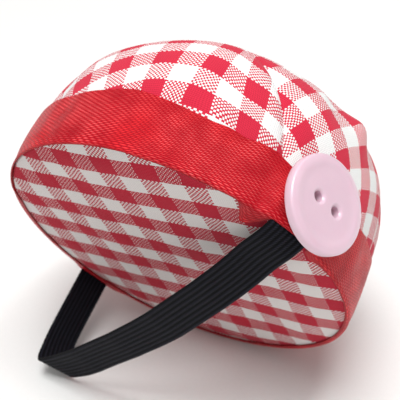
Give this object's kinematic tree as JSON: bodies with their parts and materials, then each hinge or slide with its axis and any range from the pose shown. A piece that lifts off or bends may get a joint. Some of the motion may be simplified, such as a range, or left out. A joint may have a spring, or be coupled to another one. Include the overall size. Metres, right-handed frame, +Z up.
{
  "type": "wrist pin cushion",
  "caption": "Wrist pin cushion: a padded red gingham dome on a covered disc, bound with satin ribbon, with a pink button and a flat elastic wrist strap.",
  "frame": {"origin": "centre of the base's flat underside", "axes": "+Z up through the crown of the dome, +X towards the button, the strap's loop hanging under the base in a plane across +Y"},
  "size_m": [0.0763, 0.071, 0.0633],
  "materials": {
    "gingham": "matte red and white woven check",
    "wadding": "soft matte",
    "board": "matte grey-brown card",
    "thread": "matte spun thread",
    "glue": "set hot-melt, satin",
    "stuffing": "fluffy matte fibre",
    "ribbon": "single-face satin sheen",
    "button": "satin-gloss pink resin",
    "elastic": "matte ribbed braid"
  },
  "bodies": {
    "cushion": {"base_cover": "gingham", "base_wadding": "wadding", "base_board": "board", "base_gather_thread": "thread", "assembly_glue": "glue", "dome_board": "board", "dome_gather_thread": "thread", "dome_stuffing": "stuffing", "dome_cover": "gingham", "ribbon_band": "ribbon", "button": "button", "button_glue": "glue", "strap_near_end": "elastic", "strap_far_end": "elastic"},
    "strap_0": {"strap_section_0": "elastic"},
    "strap_1": {"strap_section_1": "elastic"},
    "strap_2": {"strap_section_2": "elastic"},
    "strap_3": {"strap_section_3": "elastic"},
    "strap_4": {"strap_section_4": "elastic"},
    "strap_5": {"strap_section_5": "elastic"},
    "strap_6": {"strap_section_6": "elastic"},
    "strap_7": {"strap_section_7": "elastic"}
  },
  "joints": [
    {"name": "strap_sway", "type": "hinge", "parent": "cushion", "child": "strap_0", "pos_m": [0.0322, 0.0012, -0.0012], "axis": [1, 0, 0], "range_deg": [-18, 18]},
    {"name": "strap_open", "type": "hinge", "parent": "strap_0", "child": "strap_1", "pos_m": [0.0282, 0.0012, -0.00389], "axis": [0, -1, 0], "range_deg": [0, 33]},
    {"name": "strap_bend_2", "type": "hinge", "parent": "strap_1", "child": "strap_2", "pos_m": [0.01592, 0.0012, -0.00925], "axis": [0, -1, 0], "range_deg": [-15.68, 0]},
    {"name": "strap_bend_3", "type": "hinge", "parent": "strap_2", "child": "strap_3", "pos_m": [0.00334, 0.0012, -0.01386], "axis": [0, -1, 0], "range_deg": [-15.51, 0]},
    {"name": "strap_bend_4", "type": "hinge", "parent": "strap_3", "child": "strap_4", "pos_m": [-0.0095, 0.0012, -0.01769], "axis": [0, -1, 0], "range_deg": [-17, 0]},
    {"name": "strap_bend_5", "type": "hinge", "parent": "strap_4", "child": "strap_5", "pos_m": [-0.02255, 0.0012, -0.02073], "axis": [0, -1, 0], "range_deg": [-20.95, 0]},
    {"name": "strap_fold", "type": "hinge", "parent": "strap_5", "child": "strap_6", "pos_m": [-0.03576, 0.0012, -0.02296], "axis": [0, -1, 0], "range_deg": [0, 71.44]},
    {"name": "strap_bend_7", "type": "hinge", "parent": "strap_6", "child": "strap_7", "pos_m": [-0.03563, 0.0012, -0.01206], "axis": [0, -1, 0], "range_deg": [-27.39, 0]}
  ],
  "couplings": [
    {"joint": "strap_bend_2", "follows": "strap_open", "ratio": -0.475},
    {"joint": "strap_bend_3", "follows": "strap_open", "ratio": -0.47},
    {"joint": "strap_bend_4", "follows": "strap_open", "ratio": -0.515},
    {"joint": "strap_bend_5", "follows": "strap_open", "ratio": -0.635},
    {"joint": "strap_fold", "follows": "strap_open", "ratio": 2.165},
    {"joint": "strap_bend_7", "follows": "strap_open", "ratio": -0.83}
  ]
}
